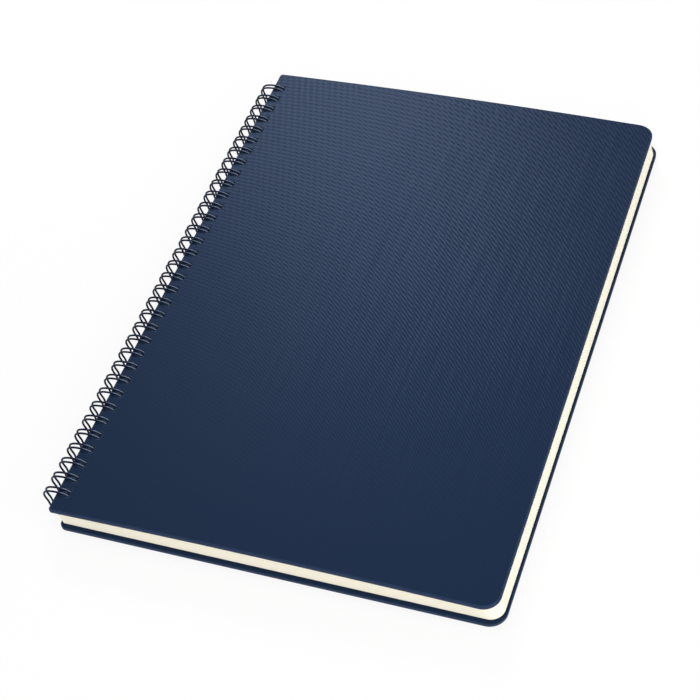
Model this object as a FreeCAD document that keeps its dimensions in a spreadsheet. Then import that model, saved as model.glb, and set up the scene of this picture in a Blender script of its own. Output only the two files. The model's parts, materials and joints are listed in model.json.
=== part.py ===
import FreeCAD, Part
import math
import os

import Sketcher

# A4 hardcover notebook bound with a closed twin-loop wire, lying flat on its back cover.
#
# Every piece is drawn in one working frame, whose Y axis is the axis of the wire's rings.
# There X runs from the spine to the fore edge, Y from the near edge of the covers (y = 0)
# to the far edge, and Z upwards. The Placement then puts the origin under the middle of the
# notebook, on the surface that it lies on.

# Driving dimensions, in millimetres unless the name says otherwise.
SIZES = {
    # covers
    "cover_height": 302.0,
    "cover_width": 208.0,
    "fore_corner": 8.0,
    "front_spine_corner": 1.6,
    "back_spine_corner": 3.4,
    "wrap_thickness": 0.3,
    "board_thickness": 1.2,
    "lining_thickness": 0.2,
    "turn_in": 15.0,
    "lining_margin": 3.0,
    "lining_spine_margin": 12.0,
    "edge_rounding": 0.45,
    "crown": 1.5,
    "straight_strip": 12.0,
    "back_shift": 2.2,
    # sheets
    "sheet_end_margin": 2.5,
    "sheet_fore_margin": 1.1,
    "sheet_inset": 1.9,
    "sheet_corner": 6.5,
    "sheet_lean": 2.0,
    "block_thickness": 10.0,
    "front_play": 0.3,
    "back_play": 0.2,
    # binding wire and its holes
    "loop_pitch": 8.4667,
    "row_margin": 10.0,
    "row_offset": -0.6,
    "loop_spacing": 2.35,
    "hole_side_play": 0.475,
    "ring_play": 0.51,
    "ring_inset": 1.0,
    "wire_width": 0.9,
    "cover_hole_play": 0.2,
    "sheet_hole_inward": 1.0,
    "sheet_hole_outward": 1.9,
}

# Shape of the wire: the straight sides of a full ring, the angles round the ring, from +X
# towards +Z, at which a loop leaves the seam and ends in its tip, and the corners of a bend.
RING_SIDES = 12
SEAM_DEGREES = -74.0
TIP_DEGREES = 266.0
BEND_CORNERS = 2
# The angles between which the sheets' holes are swept, and their flat lengths of wall.
SHEET_HOLE_DEGREES = 50.0
SHEET_HOLE_SIDES = 2
# How far a cover's hole is cut past both faces, as a share of the cover's thickness.
HOLE_OVERRUN = 0.3
# How near two places have to be, in millimetres, to count as the same one.
SAME_PLACE = 0.01

doc = FreeCAD.newDocument("HardcoverNotebook")


def make_sheet():
    """The spreadsheet of driving dimensions, one named cell each."""
    sheet = doc.addObject("Spreadsheet::Sheet", "Sizes")
    for row, (name, size) in enumerate(SIZES.items(), start=1):
        sheet.set("A%d" % row, name)
        sheet.set("B%d" % row, str(size))
        sheet.setAlias("B%d" % row, name)
    doc.recompute()
    return sheet


def cell(name):
    return "Sizes." + name


# Expressions that several pieces share.
COVER = "(2 * {w} + {b} + {l})".format(
    w=cell("wrap_thickness"), b=cell("board_thickness"), l=cell("lining_thickness")
)
STACK = "(2 * {c} + {b} + {f} + {k})".format(
    c=COVER, b=cell("block_thickness"), f=cell("front_play"), k=cell("back_play")
)
HALF_STACK = "({} / 2)".format(STACK)
FRONT_LEFT = "(0 - {})".format(cell("ring_inset"))
BACK_LEFT = "({} - {})".format(cell("back_shift"), cell("ring_inset"))
# The front cover's crown: an arc, and the straight strip that carries its tangent to the spine.
CROWN_RADIUS = "(({w} ^ 2 / 4 + {c} ^ 2) / (2 * {c}))".format(
    w=cell("cover_width"), c=cell("crown")
)
CROWN_X = "({} + {} / 2)".format(FRONT_LEFT, cell("cover_width"))
CROWN_Z = "({} + {} - {})".format(HALF_STACK, cell("crown"), CROWN_RADIUS)
STRIP_END = "({} + {})".format(FRONT_LEFT, cell("straight_strip"))
# The sheets, and the row of loops: as many as fit between the margins at the covers' ends.
SHEET_HEIGHT = "({} - 2 * {})".format(cell("cover_height"), cell("sheet_end_margin"))
SHEET_WIDTH = "({} - {} - {})".format(
    cell("cover_width"), cell("sheet_inset"), cell("sheet_fore_margin")
)
LOOP_COUNT = "(floor(({} - 2 * {}) / {}) + 1)".format(
    cell("cover_height"), cell("row_margin"), cell("loop_pitch")
)
FIRST_LOOP = "(({} - ({} - 1) * {}) / 2 + {})".format(
    cell("cover_height"), LOOP_COUNT, cell("loop_pitch"), cell("row_offset")
)
HOLE_LENGTH = "({} + {} + 2 * {})".format(
    cell("loop_spacing"), cell("wire_width"), cell("hole_side_play")
)
# How far the middles of the ring's sides, its centre line's corners and its outer corners stand
# from its axis. The covers lie inside the rings.
MITRE = math.cos(math.pi / RING_SIDES)
RING_INSIDE = "({} + {})".format(HALF_STACK, cell("ring_play"))
RING_RADIUS = "(({} + {} / 2) / {})".format(RING_INSIDE, cell("wire_width"), MITRE)
RING_OUTSIDE = "({} + {} / 2 / {})".format(RING_RADIUS, cell("wire_width"), MITRE)
AXIS_X = "(({o} - {b} - {w}) / 2)".format(
    o=RING_OUTSIDE, b=BACK_LEFT, w=cell("cover_width")
)


def worked_out(expression):
    """The number that an expression of the sheet's cells gives now."""
    plain = sizes_sheet.evalExpression(expression)
    return float(plain)


def place(piece):
    """Moves a piece from the ring's frame to the notebook's own frame."""
    piece.setExpression("Placement.Base.x", AXIS_X)
    piece.setExpression("Placement.Base.y", "0 - {} / 2".format(cell("cover_height")))
    piece.setExpression("Placement.Base.z", RING_OUTSIDE)


def origin_feature(body, role):
    for feature in body.Origin.OriginFeatures:
        if feature.Role == role:
            return feature
    raise ValueError(role)


def new_body(name):
    body = doc.addObject("PartDesign::Body", name)
    body.Label = name
    place(body)
    return body


def new_sketch(body, name, role):
    sketch = body.newObject("Sketcher::SketchObject", name)
    sketch.AttachmentSupport = [(origin_feature(body, role), "")]
    sketch.MapMode = "FlatFace"
    return sketch


def dimension(sketch, label, kind, refs, expression):
    """Adds a dimension to a sketch and binds it to the sheet."""
    index = sketch.addConstraint(Sketcher.Constraint(kind, *refs, worked_out(expression)))
    sketch.renameConstraint(index, label)
    sketch.setExpression("Constraints." + label, expression)


def add_rectangle(sketch, left, bottom, right, top):
    """A rectangle from four expressions, each a distance from the sketch's origin."""
    x0, y0, x1, y1 = (worked_out(side) for side in (left, bottom, right, top))
    corners = [(x0, y0), (x1, y0), (x1, y1), (x0, y1)]
    points = [FreeCAD.Vector(x, y, 0) for x, y in corners]
    for start, end in zip(points, points[1:] + points[:1]):
        sketch.addGeometry(Part.LineSegment(start, end), False)
    for side in range(4):
        sketch.addConstraint(Sketcher.Constraint("Coincident", side, 2, (side + 1) % 4, 1))
    for side, kind in enumerate(("Horizontal", "Vertical", "Horizontal", "Vertical")):
        sketch.addConstraint(Sketcher.Constraint(kind, side))
    dimension(sketch, "left", "DistanceX", (-1, 1, 0, 1), left)
    dimension(sketch, "right", "DistanceX", (-1, 1, 1, 1), right)
    dimension(sketch, "bottom", "DistanceY", (-1, 1, 0, 1), bottom)
    dimension(sketch, "top", "DistanceY", (-1, 1, 2, 1), top)


def pad_along_y(body, sketch, near, length):
    """Pads an XZ sketch towards +Y, from the distance near to near + length."""
    sketch.setExpression("AttachmentOffset.Base.z", "0 - ({})".format(near))
    doc.recompute()
    pad = body.newObject("PartDesign::Pad", body.Name + "_pad")
    pad.Profile = sketch
    pad.Reversed = True
    pad.setExpression("Length", length)
    doc.recompute()
    return pad


def add_crown_arc(sketch, label, radius, left, right):
    """An arc about the crown's centre, from its right end to its left. Gives its end points."""
    cx, cz, r = (worked_out(size) for size in (CROWN_X, CROWN_Z, radius))
    angles = [math.acos((worked_out(x) - cx) / r) for x in (right, left)]
    circle = Part.Circle(FreeCAD.Vector(cx, cz, 0), FreeCAD.Vector(0, 0, 1), r)
    arc = sketch.addGeometry(Part.ArcOfCircle(circle, *angles), False)
    dimension(sketch, label + "_radius", "Radius", (arc,), radius)
    dimension(sketch, label + "_left", "DistanceX", (-1, 1, arc, 2), left)
    return [FreeCAD.Vector(cx + r * math.cos(angle), cz + r * math.sin(angle), 0)
            for angle in angles]


def add_tangent_line(sketch, arc, arc_left, x):
    """A line that carries an arc's tangent on from its left end to x. Gives its end point."""
    middle = sketch.Geometry[arc].Center
    spoke = arc_left - middle
    drop = (arc_left.x - worked_out(x)) * -spoke.x / spoke.y
    end = FreeCAD.Vector(worked_out(x), arc_left.y - drop, 0)
    line = sketch.addGeometry(Part.LineSegment(arc_left, end), False)
    sketch.addConstraint(Sketcher.Constraint("Tangent", line, 1, arc, 2))
    return end


def crowned_profile(body, left, right, depth, thickness):
    """The profile of a layer of the front cover: two arcs about one centre, far below, that run
    on straight over the strip along the spine, and two upright ends. depth is how far the layer
    lies under the cover's outer face."""
    sketch = new_sketch(body, body.Name + "_profile", "XZ_Plane")
    has_strip = worked_out(left) < worked_out(STRIP_END) - SAME_PLACE
    arc_left = STRIP_END if has_strip else left
    outer = "({} - {})".format(CROWN_RADIUS, depth)
    inner = "({} - {} - {})".format(CROWN_RADIUS, depth, thickness)
    outer_ends = add_crown_arc(sketch, "outer", outer, arc_left, right)
    inner_ends = add_crown_arc(sketch, "inner", inner, arc_left, right)
    sketch.addConstraint(Sketcher.Constraint("Coincident", 0, 3, 1, 3))
    dimension(sketch, "centre_x", "DistanceX", (-1, 1, 0, 3), CROWN_X)
    dimension(sketch, "centre_z", "DistanceY", (-1, 1, 0, 3), CROWN_Z)
    outer_left, inner_left = outer_ends[1], inner_ends[1]
    outer_end, inner_end = (0, 2), (1, 2)
    if has_strip:
        outer_left = add_tangent_line(sketch, 0, outer_left, left)
        inner_left = add_tangent_line(sketch, 1, inner_left, left)
        outer_end, inner_end = (2, 2), (3, 2)
    sides = (
        ("right", right, outer_ends[0], inner_ends[0], (0, 1), (1, 1)),
        ("left", left, outer_left, inner_left, outer_end, inner_end),
    )
    for label, x, top, bottom, top_end, bottom_end in sides:
        line = sketch.addGeometry(Part.LineSegment(top, bottom), False)
        sketch.addConstraint(Sketcher.Constraint("Coincident", line, 1, *top_end))
        sketch.addConstraint(Sketcher.Constraint("Coincident", line, 2, *bottom_end))
        if label == "right" or has_strip:
            sketch.addConstraint(Sketcher.Constraint("Vertical", line))
            dimension(sketch, label, "DistanceX", (-1, 1, line, 1), x)
    return sketch


def flat_profile(body, left, right, depth, thickness):
    """The profile of a layer of the back cover. depth is measured up from its outer face."""
    sketch = new_sketch(body, body.Name + "_profile", "XZ_Plane")
    bottom = "({} - {})".format(depth, HALF_STACK)
    top = "({} + {} - {})".format(depth, thickness, HALF_STACK)
    add_rectangle(sketch, left, bottom, right, top)
    return sketch


def is_upright_at(edge, x):
    """Whether an edge is a straight upright one that stands at x all the way."""
    if edge.Curve.TypeId != "Part::GeomLine" or len(edge.Vertexes) != 2:
        return False
    start, end = (vertex.Point for vertex in edge.Vertexes)
    at_x = abs(start.x - x) < SAME_PLACE and abs(end.x - x) < SAME_PLACE
    return at_x and abs(start.y - end.y) < SAME_PLACE and abs(start.z - end.z) > SAME_PLACE


def round_corners(body, base, x, radius, name):
    """Rounds the two upright edges at x, the corners of a cover's outline."""
    edges = ["Edge%d" % number for number, edge in enumerate(base.Shape.Edges, start=1)
             if is_upright_at(edge, x)]
    fillet = body.newObject("PartDesign::Fillet", body.Name + name)
    fillet.Base = (base, edges)
    fillet.setExpression("Radius", radius)
    doc.recompute()
    return fillet


def add_outline(sketch, corners):
    """A closed outline through corners given as pairs of expressions."""
    points = [FreeCAD.Vector(worked_out(x), worked_out(y), 0) for x, y in corners]
    count = len(points)
    for n in range(count):
        sketch.addGeometry(Part.LineSegment(points[n], points[(n + 1) % count]), False)
    for n, (x, y) in enumerate(corners):
        sketch.addConstraint(Sketcher.Constraint("Coincident", n, 2, (n + 1) % count, 1))
        dimension(sketch, "across_%d" % n, "DistanceX", (-1, 1, n, 1), x)
        dimension(sketch, "up_%d" % n, "DistanceY", (-1, 1, n, 1), y)


def cover_hole(side):
    """The outline of a cover's hole, seen along the ring's axis. Its two slanting walls follow
    the ring, a play away from the wire, and run on past both faces of the cover."""
    inward = "({} - {})".format(RING_INSIDE, cell("cover_hole_play"))
    outward = "({} + {})".format(RING_OUTSIDE, cell("cover_hole_play"))
    facing_out = HALF_STACK
    facing_in = "({} - {})".format(HALF_STACK, COVER)
    sign = "" if side == "front" else "0 - "
    corners = []
    for radius, ends in ((inward, (0, 1)), (outward, (1, 0))):
        x_out = "sqrt({} ^ 2 - {} ^ 2)".format(radius, facing_out)
        x_in = "sqrt({} ^ 2 - {} ^ 2)".format(radius, facing_in)
        for end in ends:
            along = 1 + HOLE_OVERRUN if end else -HOLE_OVERRUN
            x = "({o} + ({i} - {o}) * ({a}))".format(o=x_out, i=x_in, a=along)
            z = "{s}({o} - {c} * ({a}))".format(s=sign, o=facing_out, c=COVER, a=along)
            corners.append((x, z))
    return corners


def sheet_hole():
    """The outline of the sheets' holes, seen along the ring's axis: one behind the other, they
    follow the ring."""
    inward = "({} - {})".format(RING_INSIDE, cell("sheet_hole_inward"))
    outward = "({} + {})".format(RING_OUTSIDE, cell("sheet_hole_outward"))
    step = 2 * SHEET_HOLE_DEGREES / SHEET_HOLE_SIDES
    angles = [math.radians(n * step - SHEET_HOLE_DEGREES) for n in range(SHEET_HOLE_SIDES + 1)]
    walls = [(inward, angle) for angle in angles]
    walls += [(outward, angle) for angle in reversed(angles)]
    return [
        ("{} * {:.6f}".format(radius, math.cos(angle)),
         "{} * ({:.6f})".format(radius, math.sin(angle)))
        for radius, angle in walls
    ]


def punch(body, outline):
    """Cuts the row of holes through a piece, each with the given outline along the ring's axis.
    They leave room for the wire at every angle that the piece is turned to."""
    sketch = new_sketch(body, body.Name + "_hole", "XZ_Plane")
    add_outline(sketch, outline)
    near = "({} - {} / 2)".format(FIRST_LOOP, HOLE_LENGTH)
    sketch.setExpression("AttachmentOffset.Base.z", "0 - " + near)
    doc.recompute()
    hole = body.newObject("PartDesign::Pocket", body.Name + "_pocket")
    hole.Profile = sketch
    hole.Reversed = False
    hole.setExpression("Length", HOLE_LENGTH)
    doc.recompute()
    row = body.newObject("PartDesign::LinearPattern", body.Name + "_row")
    row.Originals = [hole]
    row.Direction = (origin_feature(body, "Y_Axis"), [""])
    row.setExpression("Length", "({} - 1) * {}".format(LOOP_COUNT, cell("loop_pitch")))
    row.setExpression("Occurrences", LOOP_COUNT)
    body.Tip = row
    doc.recompute()


def cover_layer(name, side, depth, thickness, inset, fore=None, spine=None, punched=False,
                spine_inset=None):
    """One layer of a cover, as a body of its own. inset is how far its outline lies inside the
    cover's, and fore and spine are its corner radii, or None for square corners."""
    body = new_body(name)
    cover_left = FRONT_LEFT if side == "front" else BACK_LEFT
    left = "({} + {})".format(cover_left, spine_inset or inset)
    right = "({} + {} - {})".format(cover_left, cell("cover_width"), inset)
    make_profile = crowned_profile if side == "front" else flat_profile
    sketch = make_profile(body, left, right, depth, thickness)
    length = "{} - 2 * ({})".format(cell("cover_height"), inset)
    solid = pad_along_y(body, sketch, inset, length)
    if fore:
        solid = round_corners(body, solid, worked_out(right), fore, "_fore_corners")
    if spine:
        solid = round_corners(body, solid, worked_out(left), spine, "_spine_corners")
    if punched:
        punch(body, cover_hole(side))
    return body


def round_outer_edge(body, upper):
    """Softens the rim of a cover's outer face, where the covering is pulled over the board. The
    line across the face where a crown begins isn't part of the rim."""
    base = body.Tip
    picked = []
    middle_z = worked_out(HALF_STACK)
    strip_end = worked_out(STRIP_END)
    for number, edge in enumerate(base.Shape.Edges, start=1):
        box = edge.BoundBox
        is_outer = box.ZMin > middle_z - SAME_PLACE if upper else box.ZMax < SAME_PLACE - middle_z
        is_crease = abs(box.XMin - strip_end) < SAME_PLACE and box.XLength < SAME_PLACE
        if is_outer and not is_crease:
            picked.append("Edge%d" % number)
    chamfer = body.newObject("PartDesign::Chamfer", body.Name + "_rim")
    chamfer.Base = (base, picked)
    chamfer.setExpression("Size", cell("edge_rounding"))
    body.Tip = chamfer
    doc.recompute()


def combined(kind, name, base, tool):
    """A Part boolean of two pieces, under its own name."""
    result = doc.addObject(kind, name)
    result.Base = base
    result.Tool = tool
    result.Label = name
    doc.recompute()
    return result


def make_cover(side):
    """A cover of three pieces: the board, the covering wrapped round its outer face and edges
    and turned in over the inner face, and the lining that levels and closes the inner face."""
    wrap, board = cell("wrap_thickness"), cell("board_thickness")
    lining, margin = cell("lining_thickness"), cell("lining_margin")
    fore, spine = cell("fore_corner"), cell(side + "_spine_corner")
    board_piece = cover_layer(
        side + "_board", side, wrap, board, wrap,
        fore="({} - {})".format(fore, wrap), spine="({} - {})".format(spine, wrap), punched=True,
    )
    case = cover_layer(
        side + "_case", side, "0", "(2 * {} + {})".format(wrap, board), "0", fore, spine
    )
    round_outer_edge(case, side == "front")
    punch(case, cover_hole(side))
    core = cover_layer(
        side + "_lining_core", side, "({} + {})".format(wrap, board), wrap, cell("turn_in")
    )
    face = cover_layer(
        side + "_lining_face", side, "(2 * {} + {})".format(wrap, board), lining, margin,
        fore="({} - {})".format(fore, margin), spine_inset=cell("lining_spine_margin"),
    )
    hollow = combined("Part::Cut", side + "_case_hollow", case, board_piece)
    covering = combined("Part::Cut", side + "_covering", hollow, core)
    lining_piece = combined("Part::Fuse", side + "_lining", core, face)
    return [board_piece, covering, lining_piece]


def make_page_block():
    """All the sheets as one block: it leans away from the spine towards the bottom, and its
    top follows the front cover's crown and its straight strip."""
    body = new_body("page_block")
    sketch = new_sketch(body, "page_block_profile", "XZ_Plane")
    radius = "({} - {} - {})".format(CROWN_RADIUS, COVER, cell("front_play"))
    bottom = "({} + {} - {})".format(COVER, cell("back_play"), HALF_STACK)
    top_left = "({} + {})".format(FRONT_LEFT, cell("sheet_inset"))
    top_right = "({} + {})".format(top_left, SHEET_WIDTH)
    bottom_left = "({} + {})".format(top_left, cell("sheet_lean"))
    bottom_right = "({} + {})".format(top_right, cell("sheet_lean"))
    right_point, strip_point = add_crown_arc(sketch, "top", radius, STRIP_END, top_right)
    left_point = add_tangent_line(sketch, 0, strip_point, top_left)
    z0 = worked_out(bottom)
    low_left = FreeCAD.Vector(worked_out(bottom_left), z0, 0)
    low_right = FreeCAD.Vector(worked_out(bottom_right), z0, 0)
    outline = [left_point, low_left, low_right, right_point]
    for start, end in zip(outline, outline[1:]):
        sketch.addGeometry(Part.LineSegment(start, end), False)
    for line in (1, 2, 3):
        sketch.addConstraint(Sketcher.Constraint("Coincident", line, 2, line + 1, 1))
    sketch.addConstraint(Sketcher.Constraint("Coincident", 4, 2, 0, 1))
    sketch.addConstraint(Sketcher.Constraint("Horizontal", 3))
    dimension(sketch, "centre_x", "DistanceX", (-1, 1, 0, 3), CROWN_X)
    dimension(sketch, "centre_z", "DistanceY", (-1, 1, 0, 3), CROWN_Z)
    dimension(sketch, "left", "DistanceX", (-1, 1, 2, 1), top_left)
    dimension(sketch, "right", "DistanceX", (-1, 1, 4, 2), top_right)
    dimension(sketch, "bottom_left", "DistanceX", (-1, 1, 3, 1), bottom_left)
    dimension(sketch, "bottom_right", "DistanceX", (-1, 1, 3, 2), bottom_right)
    dimension(sketch, "bottom", "DistanceY", (-1, 1, 3, 1), bottom)
    pad = pad_along_y(body, sketch, cell("sheet_end_margin"), SHEET_HEIGHT)
    fore_edges = []
    for number, edge in enumerate(pad.Shape.Edges, start=1):
        box = edge.BoundBox
        is_fore = box.XMin > right_point.x - SAME_PLACE
        if is_fore and box.YLength < SAME_PLACE and box.ZLength > SAME_PLACE:
            fore_edges.append("Edge%d" % number)
    fillet = body.newObject("PartDesign::Fillet", "page_block_fore_corners")
    fillet.Base = (pad, fore_edges)
    fillet.setExpression("Radius", cell("sheet_corner"))
    doc.recompute()
    punch(body, sheet_hole())
    return body


def on_ring(radius, degrees, y):
    """A point on the straight-sided ring, at an angle counted from +X towards +Z. radius is that
    of the ring's corners."""
    step = 360.0 / RING_SIDES
    off_middle = (degrees % step) - step / 2
    reach = radius * MITRE / math.cos(math.radians(off_middle))
    angle = math.radians(degrees)
    return FreeCAD.Vector(reach * math.cos(angle), y, reach * math.sin(angle))


def wire_route():
    """The corner points of the wire's centre line, from its first cut end to its last. The wire
    goes up round the ring, turns back in a hairpin at the loop's tip, comes down round the
    ring beside itself, and runs along the seam to the next loop."""
    radius = worked_out(RING_RADIUS)
    first_loop = worked_out(FIRST_LOOP)
    half = SIZES["loop_spacing"] / 2
    step = 360.0 / RING_SIDES
    first_corner = math.ceil(SEAM_DEGREES / step) * step
    corner_count = int((TIP_DEGREES - first_corner) / step) + 1
    degrees = [SEAM_DEGREES] + [first_corner + n * step for n in range(corner_count)]
    per_mm = math.degrees(1 / radius)
    half_turn = math.pi / BEND_CORNERS / 2
    swings = [half_turn * (2 * n + 1) for n in range(BEND_CORNERS)]
    points = []
    for loop in range(round(worked_out(LOOP_COUNT))):
        y = first_loop + loop * SIZES["loop_pitch"]
        points += [on_ring(radius, angle, y - half) for angle in degrees]
        for swing in swings:
            bulge = half * math.sin(swing) * per_mm
            points.append(on_ring(radius, TIP_DEGREES + bulge, y - half * math.cos(swing)))
        points += [on_ring(radius, angle, y + half) for angle in reversed(degrees)]
    return points


def mitred_tube(points, width):
    """A square bar of the given width along a run of straight pieces, mitred at each corner, as
    a list of flat faces. The first section stands square to the first piece."""
    directions = [(b - a).normalize() for a, b in zip(points, points[1:])]
    side = FreeCAD.Vector(0, 1, 0)
    other = directions[0].cross(side).normalize()
    side = other.cross(directions[0]).normalize()
    half = width / 2
    signs = ((-1, -1), (1, -1), (1, 1), (-1, 1))
    section = [points[0] + side * (half * i) + other * (half * j) for i, j in signs]
    faces = [Part.Face(Part.makePolygon(section + section[:1]))]
    for number, direction in enumerate(directions):
        if number + 1 < len(directions):
            normal = direction + directions[number + 1]
        else:
            normal = direction
        end = points[number + 1]
        moved = []
        for corner in section:
            along = (end - corner).dot(normal) / direction.dot(normal)
            moved.append(corner + direction * along)
        for n in range(4):
            m = (n + 1) % 4
            outline = [section[n], section[m], moved[m], moved[n], section[n]]
            faces.append(Part.Face(Part.makePolygon(outline)))
        section = moved
    faces.append(Part.Face(Part.makePolygon(section + section[:1])))
    return faces


def make_binding_wire():
    """The binding: one continuous wire. Its round section is drawn square and its rings with
    straight sides, which keeps the count of its faces low."""
    shell = Part.makeShell(mitred_tube(wire_route(), SIZES["wire_width"]))
    solid = Part.makeSolid(shell)
    if solid.Volume < 0:
        solid.reverse()
    wire = doc.addObject("Part::Feature", "binding_wire")
    wire.Label = "binding_wire"
    wire.Shape = solid
    place(wire)
    doc.recompute()
    return wire


sizes_sheet = make_sheet()
pieces = make_cover("front") + [make_page_block()] + make_cover("back") + [make_binding_wire()]
doc.recompute()

for made in doc.Objects:
    for state in ("Invalid", "Error"):
        if state in made.State:
            raise RuntimeError("{} is {}".format(made.Label, state))
for piece in pieces:
    if piece.Shape.isNull() or not piece.Shape.isValid():
        raise RuntimeError("{} has no valid shape".format(piece.Label))
    if len(piece.Shape.Solids) != 1:
        raise RuntimeError("{} has {} solids".format(piece.Label, len(piece.Shape.Solids)))

os.makedirs("parts", exist_ok=True)
for piece in pieces:
    piece.Shape.exportStep("parts/{}.step".format(piece.Label))
    box = piece.Shape.BoundBox
    print("{:16s} {:8.2f} x {:7.2f} x {:6.2f} mm, {:10.1f} mm3".format(
        piece.Label, box.XLength, box.YLength, box.ZLength, piece.Shape.Volume
    ))
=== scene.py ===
import json
import math
import random

import bmesh
import bpy
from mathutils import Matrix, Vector
from mathutils.bvhtree import BVHTree


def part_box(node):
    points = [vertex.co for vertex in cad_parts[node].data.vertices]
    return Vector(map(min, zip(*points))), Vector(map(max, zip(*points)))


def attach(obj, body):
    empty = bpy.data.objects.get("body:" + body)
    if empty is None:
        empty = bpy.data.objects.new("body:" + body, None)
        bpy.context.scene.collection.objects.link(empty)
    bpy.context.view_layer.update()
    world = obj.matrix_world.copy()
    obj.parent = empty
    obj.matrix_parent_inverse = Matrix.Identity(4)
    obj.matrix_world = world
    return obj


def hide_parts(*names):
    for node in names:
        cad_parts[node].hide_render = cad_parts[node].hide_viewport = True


# Looks of an A4 hardcover notebook bound with a closed twin-loop wire. All lengths are metres.
MM = 0.001

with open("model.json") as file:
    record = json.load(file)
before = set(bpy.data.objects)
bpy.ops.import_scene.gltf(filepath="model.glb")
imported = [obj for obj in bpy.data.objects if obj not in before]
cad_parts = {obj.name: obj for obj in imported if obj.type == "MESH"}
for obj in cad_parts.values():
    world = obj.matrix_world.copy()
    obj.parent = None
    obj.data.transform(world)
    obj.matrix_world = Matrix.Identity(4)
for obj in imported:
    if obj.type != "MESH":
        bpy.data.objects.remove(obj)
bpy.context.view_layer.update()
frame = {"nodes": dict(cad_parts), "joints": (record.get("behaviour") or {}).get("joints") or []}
nodes = frame["nodes"]

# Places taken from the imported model.
RING_X, _, RING_Z = frame["joints"][0]["pos_m"]
WIRE_LOW, WIRE_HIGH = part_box("binding_wire")
PAGES_LOW, PAGES_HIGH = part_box("page_block")

# The binding wire: a pair of round strands in each hole. Each ring is round but for three
# stretches, given as how far it stands out (+) or is pressed in (-), and its middle and spread
# round the ring in degrees: flat over the front cover, full at the corner, flat at the spine.
# Angles run from +X towards +Z. The rings start at the seam and turn back at the tip.
WIRE_DIAMETER = 0.98 * MM
CAD_WIRE_RADIUS = 0.45 * MM
STRAND_SIDES = 10
RING_RADIUS = 8.4 * MM
RING_PRESSED = ((-0.4 * MM, 91.0, 14.5), (1.0 * MM, 141.0, 15.5), (-1.3 * MM, 189.5, 17.0))
RING_STEPS = 56
HAIRPIN_STEPS = 8
LOOP_COUNT = 34
LOOP_SPACING = 2.35 * MM
SEAM_DEGREES = -74.0
TIP_DEGREES = 266.0
SEAM_CORNER = 1.1 * MM
SEAM_CORNER_DEGREES = (15.0, 45.0, 75.0)
DEGREES_PER_METRE = 180 / (math.pi * RING_RADIUS)

# The front cover's spine edge, and the height of its outer face there.
COVER_EDGE_X = -101.1 * MM
COVER_TOP_Z = 16.3 * MM

# The covering's ribs run along the spine. Two slanted waves across them imitate the look that
# its weave has in the photograph. They are given as turns per millimetre along X and Y, and both
# swing slowly over the cover. Each wave, and the streaks along the spine, lean the surface by a
# small vector. They are weakest at the tail edge, which lies TAIL_EDGE_MM before the zero of the
# weave's Y. The long wave's share of its lean is a power of the distance from there, and is 1 at
# LONG_FULL_MM. The others' share goes from SHORT_FADE's third number to its fourth, between the
# distances that are its first two.
RIB_PITCH = 1.22 * MM
LONG_WAVE = (0.160, 0.356)
SHORT_WAVE = (0.455, 0.452)
WAVE_SWING = (0.00037, -0.0007, -0.00026)
LONG_LEAN = (-0.014, 0.045, 0.0)
SHORT_LEAN = (0.080, -0.060, 0.0)
STREAK_LEAN = (0.030, -0.016, 0.0)
TAIL_EDGE_MM = 168.0
LONG_FULL_MM = 200.0
LONG_FADE_POWER = 1.6
SHORT_FADE = (15.0, 135.0, 0.1, 0.88)

# The sheets. Their number is a guess, as they can't be counted in the photograph. Half the gap
# between two sheets' edges is a share of a sheet's thickness. The row of holes lies within
# HOLE_ROW_DEPTH of the rings' axis.
SHEET_COUNT = 96
SHEET_HALF_GAP = 0.06
CROWN_CUTS = 24
INSET_SEED = 7
INSET_DRIFT_MM = 0.03
INSET_JITTER_MM = 0.07
MOST_DRIFT = 0.1 * MM
HOLE_ROW_DEPTH = 15.0 * MM

# The studio: the world's light on the object, and how much the floor glows to the camera.
WORLD_STRENGTH = 0.46
FLOOR_GLOW = 0.86
FLOOR_SIZE = 8.0


# ---------------------------------------------------------------------------- materials

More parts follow.
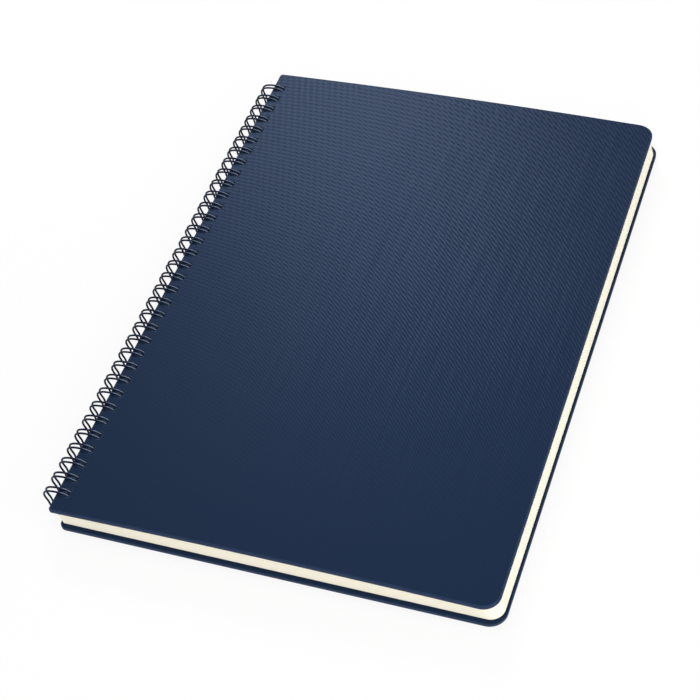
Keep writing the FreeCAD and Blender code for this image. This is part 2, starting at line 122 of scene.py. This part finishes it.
class Shader:
    """A node material with one Principled surface, and short calls that add nodes to it."""

    def __init__(self, name):
        self.material = bpy.data.materials.new(name)
        self.material.use_nodes = True
        self.tree = self.material.node_tree
        self.surface = self.tree.nodes["Principled BSDF"]

    def node(self, kind, **settings):
        """A new node of a kind, with its settings."""
        made = self.tree.nodes.new(kind)
        for key, value in settings.items():
            setattr(made, key, value)
        return made

    def link(self, source, target):
        """Joins an output to an input."""
        self.tree.links.new(source, target)

    def place(self):
        """The point on the piece, in metres in the notebook's frame."""
        return self.node("ShaderNodeTexCoord").outputs["Object"]

    def stretched(self, scale):
        """The point with each axis multiplied by its own scale."""
        mapping = self.node("ShaderNodeMapping")
        mapping.inputs["Scale"].default_value = scale
        self.link(self.place(), mapping.inputs["Vector"])
        return mapping.outputs["Vector"]

    def math(self, operation, first, second=None):
        """A sum on numbers or outputs."""
        made = self.node("ShaderNodeMath", operation=operation)
        for socket, value in zip(made.inputs, (first, second)):
            if value is None:
                continue
            if isinstance(value, (int, float)):
                socket.default_value = value
            else:
                self.link(value, socket)
        return made.outputs["Value"]

    def noise(self, vector, scale, detail, roughness=0.5):
        """Noise from 0 to 1 at a point."""
        made = self.node("ShaderNodeTexNoise")
        made.inputs["Scale"].default_value = scale
        made.inputs["Detail"].default_value = detail
        made.inputs["Roughness"].default_value = roughness
        self.link(vector, made.inputs["Vector"])
        return made.outputs["Fac"]

    def remap(self, value, low, high, new_low, new_high):
        """A value taken from one range to another and held inside it."""
        made = self.node("ShaderNodeMapRange")
        for socket, number in zip(list(made.inputs)[1:5], (low, high, new_low, new_high)):
            socket.default_value = number
        self.link(value, made.inputs["Value"])
        return made.outputs["Result"]

    def blend(self, amount, first, second):
        """A mix of two colours, each an RGB triple or a colour output."""
        made = self.node("ShaderNodeMix", data_type="RGBA")
        colours = [socket for socket in made.inputs if socket.type == "RGBA"]
        for socket, value in zip(colours, (first, second)):
            if isinstance(value, tuple):
                socket.default_value = (*value, 1.0)
            else:
                self.link(value, socket)
        self.link(amount, made.inputs[0])
        return next(socket for socket in made.outputs if socket.type == "RGBA")

    def bump(self, height, distance, strength, normal=None):
        """The normal that a height gives, on top of another normal if there is one."""
        made = self.node("ShaderNodeBump")
        made.inputs["Distance"].default_value = distance
        made.inputs["Strength"].default_value = strength
        self.link(height, made.inputs["Height"])
        if normal is not None:
            self.link(normal, made.inputs["Normal"])
        return made.outputs["Normal"]

    def leant(self, normal, amount, lean):
        """The normal, leant by an amount times a small vector that turns with the piece."""
        turned = self.node(
            "ShaderNodeVectorTransform", vector_type="VECTOR",
            convert_from="OBJECT", convert_to="WORLD",
        )
        turned.inputs["Vector"].default_value = lean
        scaled = self.node("ShaderNodeVectorMath", operation="SCALE")
        self.link(turned.outputs["Vector"], scaled.inputs[0])
        self.link(amount, scaled.inputs["Scale"])
        total = self.node("ShaderNodeVectorMath", operation="ADD")
        self.link(normal, total.inputs[0])
        self.link(scaled.outputs["Vector"], total.inputs[1])
        unit = self.node("ShaderNodeVectorMath", operation="NORMALIZE")
        self.link(total.outputs["Vector"], unit.inputs[0])
        return unit.outputs["Vector"]

    def flat_normal(self):
        """The normal of the face itself."""
        return self.node("ShaderNodeNewGeometry").outputs["True Normal"]

    def in_own_axes(self, normal):
        """A normal in the piece's own axes, however the piece is turned."""
        own = self.node(
            "ShaderNodeVectorTransform", vector_type="NORMAL",
            convert_from="WORLD", convert_to="OBJECT",
        )
        self.link(normal, own.inputs["Vector"])
        return own.outputs["Vector"]

    def side(self):
        """1 on faces square to the sheets, 0 on faces along them."""
        parts = self.node("ShaderNodeSeparateXYZ")
        self.link(self.in_own_axes(self.flat_normal()), parts.inputs["Vector"])
        return self.math("SUBTRACT", 1.0, self.math("ABSOLUTE", parts.outputs["Z"]))

    def facing(self, first, second):
        """How far a normal output points the way of another output or of a direction."""
        made = self.node("ShaderNodeVectorMath", operation="DOT_PRODUCT")
        self.link(first, made.inputs[0])
        if isinstance(second, tuple):
            made.inputs[1].default_value = second
        else:
            self.link(second, made.inputs[1])
        return made.outputs["Value"]

    def coordinates(self):
        """The point's three parts, as the outputs X, Y and Z."""
        made = self.node("ShaderNodeSeparateXYZ")
        self.link(self.place(), made.inputs["Vector"])
        return made.outputs

    def soft_edges(self, radius):
        """The normal that a small rounding of the edges gives."""
        made = self.node("ShaderNodeBevel", samples=8)
        made.inputs["Radius"].default_value = radius
        return made.outputs["Normal"]


def weave_wave(shader, x, y, turns_x, turns_y):
    """A wave of the weave, from -1 to 1, at a point given in millimetres."""
    bend_xx, bend_xy, bend_yy = WAVE_SWING
    along_x = shader.math("ADD", shader.math("MULTIPLY", x, bend_xx), turns_x)
    along_x = shader.math("ADD", along_x, shader.math("MULTIPLY", y, bend_xy))
    along_y = shader.math("ADD", shader.math("MULTIPLY", y, bend_yy), turns_y)
    turns = shader.math(
        "ADD", shader.math("MULTIPLY", along_x, x), shader.math("MULTIPLY", along_y, y)
    )
    return shader.math("SINE", shader.math("MULTIPLY", turns, 2 * math.pi))


def covering_material():
    """Navy covering with a fine ribbed weave, a bluish sheen and a painted highlight, in patches,
    along its rounded edges. The height is taken off both coordinates, so that the weave runs on
    over the sides."""
    shader = Shader("cover_wrap")
    point = shader.coordinates()
    x = shader.math("SUBTRACT", point["X"], point["Z"])
    y = shader.math("SUBTRACT", point["Y"], point["Z"])
    x_mm = shader.math("DIVIDE", x, MM)
    y_mm = shader.math("DIVIDE", y, MM)
    long_wave = weave_wave(shader, x_mm, y_mm, *LONG_WAVE)
    short_wave = weave_wave(shader, x_mm, y_mm, *SHORT_WAVE)
    both_waves = shader.math("ADD", long_wave, short_wave)
    tint = shader.blend(
        shader.remap(both_waves, -2.0, 2.0, 0.0, 1.0),
        (0.0105, 0.0215, 0.0482), (0.0110, 0.0223, 0.0498),
    )

    # A painted highlight along the rounded edges: where the bevel's normal turns from the face,
    # the colour is lightened, in patches.
    rounded = shader.soft_edges(0.8 * MM)
    turned = shader.facing(rounded, shader.flat_normal())
    edge_highlight = shader.remap(turned, 0.998, 0.93, 0.0, 1.0)
    patches = shader.remap(shader.noise(shader.place(), 120.0, 3.0), 0.3, 0.6, 0.6, 1.0)
    edge_highlight = shader.math("MULTIPLY", edge_highlight, patches)
    stripes = shader.remap(long_wave, 0.0, 1.0, 0.0, 0.6)
    stripes = shader.math("MULTIPLY", stripes, shader.side())
    lighter = shader.math("MAXIMUM", edge_highlight, stripes)
    tint = shader.blend(lighter, tint, (0.036, 0.058, 0.112))
    shader.link(tint, shader.surface.inputs["Base Color"])
    shader.surface.inputs["Roughness"].default_value = 0.384
    shader.surface.inputs["Specular IOR Level"].default_value = 0.109
    shader.surface.inputs["Specular Tint"].default_value = (0.03, 0.32, 1.0, 1.0)

    from_tail = shader.math("MAXIMUM", shader.math("ADD", y_mm, TAIL_EDGE_MM), 0.0)
    long_share = shader.math("DIVIDE", from_tail, LONG_FULL_MM)
    long_share = shader.math("POWER", long_share, LONG_FADE_POWER)
    short_share = shader.remap(from_tail, *SHORT_FADE)
    streaks = shader.noise(shader.stretched((1.0, 0.03, 1.0)), 520.0, 3.0, 0.6)
    streaks = shader.remap(streaks, 0.3, 0.7, -1.0, 1.0)
    normal = rounded
    for amount, share, lean in (
        (long_wave, long_share, LONG_LEAN),
        (short_wave, short_share, SHORT_LEAN),
        (streaks, short_share, STREAK_LEAN),
    ):
        normal = shader.leant(normal, shader.math("MULTIPLY", amount, share), lean)
    ribs = shader.math("SINE", shader.math("MULTIPLY", x, 2 * math.pi / RIB_PITCH))
    grain = shader.noise(shader.place(), 2600.0, 3.0, 0.6)
    height = shader.math("ADD", ribs, shader.math("MULTIPLY", grain, 1.6))
    normal = shader.bump(height, 0.004 * MM, 1.0, normal)
    shader.link(normal, shader.surface.inputs["Normal"])
    return shader.material


def lining_material():
    """Navy endpaper with a faint fibre grain."""
    shader = Shader("cover_lining")
    fibres = shader.noise(shader.stretched((1.0, 0.3, 1.0)), 900.0, 4.0, 0.65)
    tint = shader.blend(fibres, (0.012, 0.022, 0.048), (0.022, 0.036, 0.07))
    shader.link(tint, shader.surface.inputs["Base Color"])
    shader.surface.inputs["Roughness"].default_value = 0.75
    shader.surface.inputs["Specular IOR Level"].default_value = 0.3
    shader.link(shader.bump(fibres, 0.03 * MM, 0.5), shader.surface.inputs["Normal"])
    return shader.material


def board_material():
    """Board dyed navy, seen only in the walls of the holes."""
    shader = Shader("grey_board")
    fibres = shader.noise(shader.stretched((1.0, 1.0, 4.0)), 700.0, 4.0, 0.7)
    tint = shader.blend(fibres, (0.018, 0.030, 0.060), (0.028, 0.043, 0.082))
    shader.link(tint, shader.surface.inputs["Base Color"])
    shader.surface.inputs["Roughness"].default_value = 0.9
    shader.link(shader.bump(fibres, 0.05 * MM, 0.6), shader.surface.inputs["Normal"])
    return shader.material


def paper_material():
    """Cream sheets: fine tooth on the faces, and the lines of the stacked edges at the sides."""
    shader = Shader("cream_paper")
    tooth = shader.noise(shader.place(), 1500.0, 4.0, 0.6)
    layers = shader.noise(shader.stretched((0.012, 0.012, 1.0)), 9000.0, 2.0, 0.7)
    bands = shader.noise(shader.stretched((0.02, 0.02, 1.0)), 1600.0, 2.0, 0.6)
    side = shader.side()
    lines = shader.math(
        "ADD", shader.math("MULTIPLY", layers, 0.6), shader.math("MULTIPLY", bands, 0.4)
    )
    lines = shader.math("MULTIPLY", shader.remap(lines, 0.3, 0.62, 1.0, 0.0), side)
    tint = shader.blend(lines, (0.85, 0.81, 0.69), (0.78, 0.735, 0.605))
    shader.link(tint, shader.surface.inputs["Base Color"])
    shader.surface.inputs["Roughness"].default_value = 0.85
    shader.surface.inputs["Specular IOR Level"].default_value = 0.25
    height = shader.math("ADD", tooth, shader.math("MULTIPLY", layers, side))
    shader.link(shader.bump(height, 0.03 * MM, 0.5), shader.surface.inputs["Normal"])
    return shader.material


def wire_material():
    """Near-black navy coating on drawn wire, with a painted highlight on the tops of the loops
    where they lie on the cover.
    """
    shader = Shader("enamelled_wire")
    coat = shader.noise(shader.place(), 1400.0, 3.0, 0.6)
    tint = shader.blend(coat, (0.002, 0.005, 0.018), (0.003, 0.008, 0.026))
    point = shader.coordinates()
    on_cover = shader.remap(
        point["X"], COVER_EDGE_X + 1.2 * MM, COVER_EDGE_X + 3.4 * MM, 0.0, 1.0
    )
    above = shader.remap(point["Z"], COVER_TOP_Z - 0.6 * MM, COVER_TOP_Z, 0.0, 1.0)
    own_normal = shader.in_own_axes(shader.node("ShaderNodeNewGeometry").outputs["Normal"])
    # A painted highlight: where the strands lie on the cover, their upward-facing tops are
    # lightened in colour.
    painted_glint = shader.remap(shader.facing(own_normal, (0.30, 0.0, 0.95)), 0.70, 1.0, 0.0, 1.0)
    painted_glint = shader.math("MULTIPLY", shader.math("MULTIPLY", painted_glint, on_cover), above)
    tint = shader.blend(painted_glint, tint, (0.12, 0.155, 0.23))
    shader.link(tint, shader.surface.inputs["Base Color"])
    rough = shader.remap(coat, 0.3, 0.7, 0.24, 0.32)
    shader.link(rough, shader.surface.inputs["Roughness"])
    shader.surface.inputs["Specular IOR Level"].default_value = 0.35
    shader.surface.inputs["Specular Tint"].default_value = (0.5, 0.7, 1.0, 1.0)
    shader.link(shader.bump(coat, 0.02 * MM, 0.35), shader.surface.inputs["Normal"])
    return shader.material


def floor_material():
    """A white sweep that stays white to the camera and keeps a soft shadow."""
    shader = Shader("white_sweep")
    shader.surface.inputs["Base Color"].default_value = (0.9, 0.9, 0.9, 1.0)
    shader.surface.inputs["Roughness"].default_value = 0.9
    shader.surface.inputs["Specular IOR Level"].default_value = 0.0
    glow = shader.node("ShaderNodeEmission")
    mix = shader.node("ShaderNodeMixShader")
    seen = shader.node("ShaderNodeLightPath").outputs["Is Camera Ray"]
    shader.link(shader.math("MULTIPLY", seen, FLOOR_GLOW), mix.inputs["Fac"])
    shader.link(shader.surface.outputs["BSDF"], mix.inputs[1])
    shader.link(glow.outputs["Emission"], mix.inputs[2])
    shader.link(mix.outputs["Shader"], shader.tree.nodes["Material Output"].inputs["Surface"])
    return shader.material


# ------------------------------------------------------------------------------- pieces

def new_piece(name, mesh, material, smooth):
    """A new object with one material, shaded smooth or flat."""
    piece = bpy.data.objects.new(name, mesh)
    bpy.context.scene.collection.objects.link(piece)
    mesh.materials.clear()
    mesh.materials.append(material)
    mesh.polygons.foreach_set("use_smooth", [smooth] * len(mesh.polygons))
    return piece


def tube_mesh(name, points, radius):
    """A round tube along a run of points, closed at both ends."""
    count = len(points)
    tangents = []
    for index in range(count):
        before = points[max(index - 1, 0)]
        after = points[min(index + 1, count - 1)]
        tangents.append((after - before).normalized())
    normal = tangents[0].orthogonal().normalized()
    work = bmesh.new()
    rings = []
    for point, tangent in zip(points, tangents):
        normal = (normal - tangent * normal.dot(tangent)).normalized()
        binormal = tangent.cross(normal)
        ring = []
        for step in range(STRAND_SIDES):
            angle = 2 * math.pi * step / STRAND_SIDES
            offset = normal * math.cos(angle) + binormal * math.sin(angle)
            ring.append(work.verts.new(point + offset * radius))
        rings.append(ring)
    for low, high in zip(rings, rings[1:]):
        for step in range(STRAND_SIDES):
            after = (step + 1) % STRAND_SIDES
            work.faces.new((low[step], low[after], high[after], high[step]))
    work.faces.new(list(reversed(rings[0])))
    work.faces.new(rings[-1])
    mesh = bpy.data.meshes.new(name)
    work.to_mesh(mesh)
    work.free()
    return mesh


def on_ring(degrees, y):
    """A point on the centre line of a pressed ring, at an angle from +X towards +Z."""
    radius = RING_RADIUS
    for change, middle, spread in RING_PRESSED:
        off = (degrees - middle + 180.0) % 360.0 - 180.0
        radius += change * math.exp(-0.5 * (off / spread) ** 2)
    angle = math.radians(degrees)
    return Vector((RING_X + radius * math.cos(angle), y, RING_Z + radius * math.sin(angle)))


def seam_corner():
    """The rounded corner between the seam and a strand, from the seam on: for each point, its
    angle on the ring and how far it lies from the strand along the seam."""
    corner = []
    for degrees in SEAM_CORNER_DEGREES:
        swing = math.radians(degrees)
        climb = (SEAM_CORNER - SEAM_CORNER * math.cos(swing)) * DEGREES_PER_METRE
        corner.append((SEAM_DEGREES + climb, SEAM_CORNER * (1 - math.sin(swing))))
    return corner


def strand(start, end, y):
    """The points of one strand of a ring, from one angle to another."""
    return [
        on_ring(start + (end - start) * step / RING_STEPS, y) for step in range(RING_STEPS + 1)
    ]


def wire_route():
    """The wire's centre line: up round each ring, back in a hairpin at the tip, down beside
    itself and along the seam, with a rounded corner, to the next ring."""
    half = LOOP_SPACING / 2
    first = WIRE_LOW.y + CAD_WIRE_RADIUS + half
    last = WIRE_HIGH.y - CAD_WIRE_RADIUS - half
    pitch = (last - first) / (LOOP_COUNT - 1)
    start = SEAM_DEGREES + SEAM_CORNER * DEGREES_PER_METRE
    corner = seam_corner()
    points = []
    for loop in range(LOOP_COUNT):
        y = first + loop * pitch
        points += [on_ring(degrees, y - half - away) for degrees, away in corner]
        points += strand(start, TIP_DEGREES, y - half)
        for step in range(1, HAIRPIN_STEPS):
            swing = math.pi * step / HAIRPIN_STEPS
            reach = half * math.sin(swing) * DEGREES_PER_METRE
            points.append(on_ring(TIP_DEGREES + reach, y - half * math.cos(swing)))
        points += strand(TIP_DEGREES, start, y + half)
        points += [on_ring(degrees, y + half + away) for degrees, away in reversed(corner)]
    return points


def sheet_insets():
    """How far each sheet's edge stands in from the CAD block's side, from the bottom sheet up."""
    draw = random.Random(INSET_SEED)
    drift = 0.0
    insets = []
    for _ in range(SHEET_COUNT):
        drift += draw.uniform(-INSET_DRIFT_MM, INSET_DRIFT_MM) * MM
        drift = min(max(drift, 0.0), MOST_DRIFT)
        insets.append(drift + draw.uniform(0.0, INSET_JITTER_MM) * MM)
    insets[0] = insets[-1] = 0.0
    return insets


def cut_faces(work, faces, point, normal):
    """Cuts faces by a plane and returns the pieces. Their neighbours keep the shared edges."""
    parts = set(faces)
    for face in faces:
        parts.update(face.edges)
        parts.update(face.verts)
    made = bmesh.ops.bisect_plane(work, geom=list(parts), plane_co=point, plane_no=normal)
    return [part for part in made["geom"] if isinstance(part, bmesh.types.BMFace)]


def outer_sides(work):
    """The block's four sides, without its top, its bottom and the walls of the holes."""
    margin = 1.0 * MM
    sides = []
    for face in work.faces:
        x, y, level = face.calc_center_median()
        near_spine = PAGES_LOW.x + margin < x < RING_X + HOLE_ROW_DEPTH
        in_row = near_spine and PAGES_LOW.y + margin < y < PAGES_HIGH.y - margin
        if 0.01 < level < 0.99 and not in_row:
            sides.append(face)
    return sides


def sheet_block_mesh():
    """The CAD block with each sheet's edge standing in by a hair. The block is first drawn out so
    that every sheet lies flat and straight above the one below, with its height as a share from 0
    to 1. Its sides are cut between the sheets, and then it goes back to its crowned, leaning
    shape."""
    work = bmesh.new()
    work.from_mesh(nodes["page_block"].data)
    bmesh.ops.remove_doubles(work, verts=work.verts, dist=0.001 * MM)
    tree = BVHTree.FromBMesh(work)
    middle_z = (PAGES_LOW.z + PAGES_HIGH.z) / 2
    top_right = max(vert.co.x for vert in work.verts if vert.co.z > middle_z)
    lean = PAGES_HIGH.x - top_right
    skin = 0.05 * MM
    between_holes = (WIRE_LOW.y + WIRE_HIGH.y) / 2

    def crown(x):
        """The height of the block's top above its bottom, between two holes."""
        inside = min(max(x, PAGES_LOW.x + skin), top_right - skin)
        hit, _, _, _ = tree.ray_cast(
            Vector((inside, between_holes, 1.0)), Vector((0.0, 0.0, -1.0))
        )
        return hit.z - PAGES_LOW.z

    for vert in work.verts:
        x, y, z = vert.co
        level = (z - PAGES_LOW.z) / (PAGES_HIGH.z - PAGES_LOW.z)
        for _ in range(4):  # The lean and the crown depend on each other.
            x = vert.co.x - lean * (1 - level)
            level = (z - PAGES_LOW.z) / crown(x)
        vert.co = (x, y, level)
    sides = outer_sides(work)
    for step in range(1, CROWN_CUTS):
        x = PAGES_LOW.x + (top_right - PAGES_LOW.x) * step / CROWN_CUTS
        sides = cut_faces(work, sides, (x, 0.0, 0.0), (1.0, 0.0, 0.0))
    kept = set(work.verts)
    half_gap = SHEET_HALF_GAP / SHEET_COUNT
    for sheet in range(1, SHEET_COUNT):
        for level in (sheet / SHEET_COUNT - half_gap, sheet / SHEET_COUNT + half_gap):
            sides = cut_faces(work, sides, (0.0, 0.0, level), (0.0, 0.0, 1.0))
    work.normal_update()
    insets = sheet_insets()
    moves = []
    for vert in work.verts:
        if vert not in kept:
            out = Vector((vert.normal.x, vert.normal.y, 0.0)).normalized()
            moves.append((vert, out * insets[int(vert.co.z * SHEET_COUNT)]))
    for vert, move in moves:
        vert.co -= move
    for vert in work.verts:
        x, y, level = vert.co
        vert.co = (x + lean * (1 - level), y, PAGES_LOW.z + level * crown(x))
    mesh = bpy.data.meshes.new("sheet_block")
    work.to_mesh(mesh)
    work.free()
    return mesh


def make_sheets():
    """The sheets, in place of the CAD block."""
    sheets = new_piece("sheet_block", sheet_block_mesh(), paper_material(), smooth=False)
    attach(sheets, "pages")
    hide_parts("page_block")


def make_wire():
    """The binding wire, in place of the CAD wire."""
    mesh = tube_mesh("wire_strand", wire_route(), WIRE_DIAMETER / 2)
    wire = new_piece("twin_loop_wire", mesh, wire_material(), smooth=True)
    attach(wire, "back_cover")
    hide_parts("binding_wire")


def finish_node(name, material):
    """Gives a CAD node its finish."""
    mesh = nodes[name].data
    mesh.materials.clear()
    mesh.materials.append(material)


# -------------------------------------------------------------------------------- stage

def make_floor():
    """The floor that the notebook lies on."""
    bpy.ops.mesh.primitive_plane_add(size=FLOOR_SIZE, location=(0, 0, 0))
    floor = bpy.context.object
    floor.name = "floor"
    floor.data.materials.append(floor_material())


def add_disk_light(name, place, target, size, power):
    """A round lamp, hidden from the camera, that points from its place at a target."""
    data = bpy.data.lights.new(name, "AREA")
    data.shape = "DISK"
    data.size = size
    data.energy = power
    light = bpy.data.objects.new(name, data)
    bpy.context.scene.collection.objects.link(light)
    light.visible_camera = False
    light.location = place
    light.rotation_mode = "QUATERNION"
    light.rotation_quaternion = (Vector(target) - Vector(place)).to_track_quat("-Z", "Y")


def make_lights():
    """A white world that the camera sees at full strength, the lamp that gives the cover its
    sheen, a main lamp and a soft one for each side in view."""
    world = bpy.data.worlds.new("studio")
    bpy.context.scene.world = world
    world.use_nodes = True
    tree = world.node_tree
    light = tree.nodes["Background"]
    light.inputs["Color"].default_value = (1.0, 1.0, 1.0, 1.0)
    light.inputs["Strength"].default_value = WORLD_STRENGTH
    seen = tree.nodes.new("ShaderNodeBackground")
    seen.inputs["Color"].default_value = (1.0, 1.0, 1.0, 1.0)
    path = tree.nodes.new("ShaderNodeLightPath")
    mix = tree.nodes.new("ShaderNodeMixShader")
    tree.links.new(path.outputs["Is Camera Ray"], mix.inputs["Fac"])
    tree.links.new(light.outputs["Background"], mix.inputs[1])
    tree.links.new(seen.outputs["Background"], mix.inputs[2])
    tree.links.new(mix.outputs["Shader"], tree.nodes["World Output"].inputs["Surface"])
    centre = (0.0, 0.0, 0.0)
    add_disk_light("sheen", (-0.40, 0.90, 0.70), (-0.03, 0.05, 0.0), size=0.45, power=6.9)
    add_disk_light("key", (0.9, -0.9, 1.6), centre, size=1.2, power=10.0)
    add_disk_light("fill_near", (0.35, -1.3, 0.45), centre, size=0.7, power=7.5)
    add_disk_light("fill_right", (1.3, -0.2, 0.45), centre, size=0.7, power=6.5)


def make_camera():
    """The photograph's view: its angle, and a small lens shift that its perspective needs."""
    data = bpy.data.cameras.new("camera")
    data.sensor_width = 36.0
    data.lens = 91.42
    data.shift_x = -0.0286
    data.shift_y = -0.0429
    camera = bpy.data.objects.new("camera", data)
    bpy.context.scene.collection.objects.link(camera)
    camera.location = (0.24489, -0.52653, 0.64578)
    camera.rotation_euler = [math.radians(angle) for angle in (41.8147, 5.8617, 18.448)]
    bpy.context.scene.camera = camera


# ----------------------------------------------------------------------------- assembly

covering = covering_material()
lining = lining_material()
board = board_material()
for cover in ("front", "back"):
    finish_node(cover + "_covering", covering)
    finish_node(cover + "_lining", lining)
    finish_node(cover + "_board", board)
make_sheets()
make_wire()
make_floor()
make_lights()
make_camera()
bpy.context.scene.view_settings.view_transform = "Standard"
